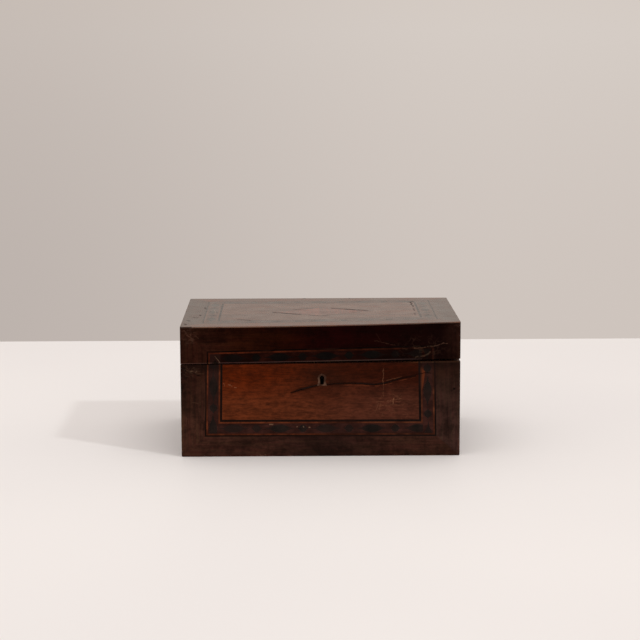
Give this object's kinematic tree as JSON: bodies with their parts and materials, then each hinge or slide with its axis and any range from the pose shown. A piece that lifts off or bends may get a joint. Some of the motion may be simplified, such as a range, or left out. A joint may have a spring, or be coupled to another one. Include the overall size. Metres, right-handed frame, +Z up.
{
  "type": "wooden box",
  "caption": "Veneered wooden box with a hinged warped lid, banded inlay on front and top, and an inset keyhole for a small lock.",
  "frame": {"origin": "middle of the underside, on the surface that the box stands on", "axes": "+X to the right along the length as seen from the front, -Y out of the front with the keyhole, +Z up"},
  "size_m": [0.305, 0.203, 0.1488],
  "materials": {
    "carcass": "bare old mahogany boards",
    "border_veneer": "dark worn French polish over rosewood",
    "plain_veneer": "dark worn French polish over mahogany",
    "panel_veneer": "worn French polish over mahogany",
    "diamond_veneer": "worn French polish over satin-figured mahogany",
    "ebony": "polished ebony stringing",
    "boxwood": "darkened polished boxwood stringing",
    "band_ground": "polished rosewood",
    "band_motif": "polished stained wood",
    "brass": "dull old brass",
    "steel": "darkened steel",
    "screws": "darkened steel screws"
  },
  "bodies": {
    "base": {"base_back_board": "carcass", "base_back_veneer": "plain_veneer", "base_band_ground": "band_ground", "base_band_motifs": "band_motif", "base_front_board": "carcass", "base_front_border": "border_veneer", "base_front_panel": "panel_veneer", "base_inner_boxwood_line": "boxwood", "base_inner_ebony_line": "ebony", "base_left_board": "carcass", "base_left_veneer": "plain_veneer", "base_outer_boxwood_line": "boxwood", "base_outer_ebony_line": "ebony", "base_right_board": "carcass", "base_right_veneer": "plain_veneer", "base_rim_facing": "panel_veneer", "bottom_board": "carcass", "bottom_sprigs": "screws", "hinge_base_leaves": "brass", "hinge_base_screws": "screws", "hinge_pins": "steel", "keyhole_escutcheon": "brass", "lock_case": "brass", "lock_key_pin": "steel", "lock_plate": "brass", "lock_screws": "screws", "lock_ward": "steel"},
    "lid": {"diamond_boxwood_line": "boxwood", "diamond_ebony_line": "ebony", "diamond_veneer": "diamond_veneer", "hinge_lid_leaves": "brass", "hinge_lid_screws": "screws", "lid_back_rail": "carcass", "lid_back_veneer": "plain_veneer", "lid_band_ground": "band_ground", "lid_band_motifs": "band_motif", "lid_ebony_line": "ebony", "lid_front_border": "border_veneer", "lid_front_rail": "carcass", "lid_inner_boxwood_line": "boxwood", "lid_left_rail": "carcass", "lid_left_veneer": "plain_veneer", "lid_outer_boxwood_line": "boxwood", "lid_right_rail": "carcass", "lid_right_veneer": "plain_veneer", "lid_rim_facing": "panel_veneer", "lid_top_board": "carcass", "link_plate_screws": "screws", "lock_link_plate": "brass", "top_band_ground": "band_ground", "top_band_motifs": "band_motif", "top_border": "border_veneer", "top_inner_boxwood_line": "boxwood", "top_inner_ebony_line": "ebony", "top_outer_boxwood_line": "boxwood", "top_outer_ebony_line": "ebony", "top_panel": "panel_veneer"},
    "bolt": {"lock_bolt": "brass", "bolt_spring": "steel"}
  },
  "joints": [
    {"name": "lid_hinge", "type": "hinge", "parent": "base", "child": "lid", "pos_m": [0, 0.0985, 0.1029], "axis": [-1, 0, 0], "range_deg": [0, 95]},
    {"name": "bolt_slide", "type": "slide", "parent": "base", "child": "bolt", "axis": [1, 0, 0], "range_m": [0, 0.004]}
  ]
}
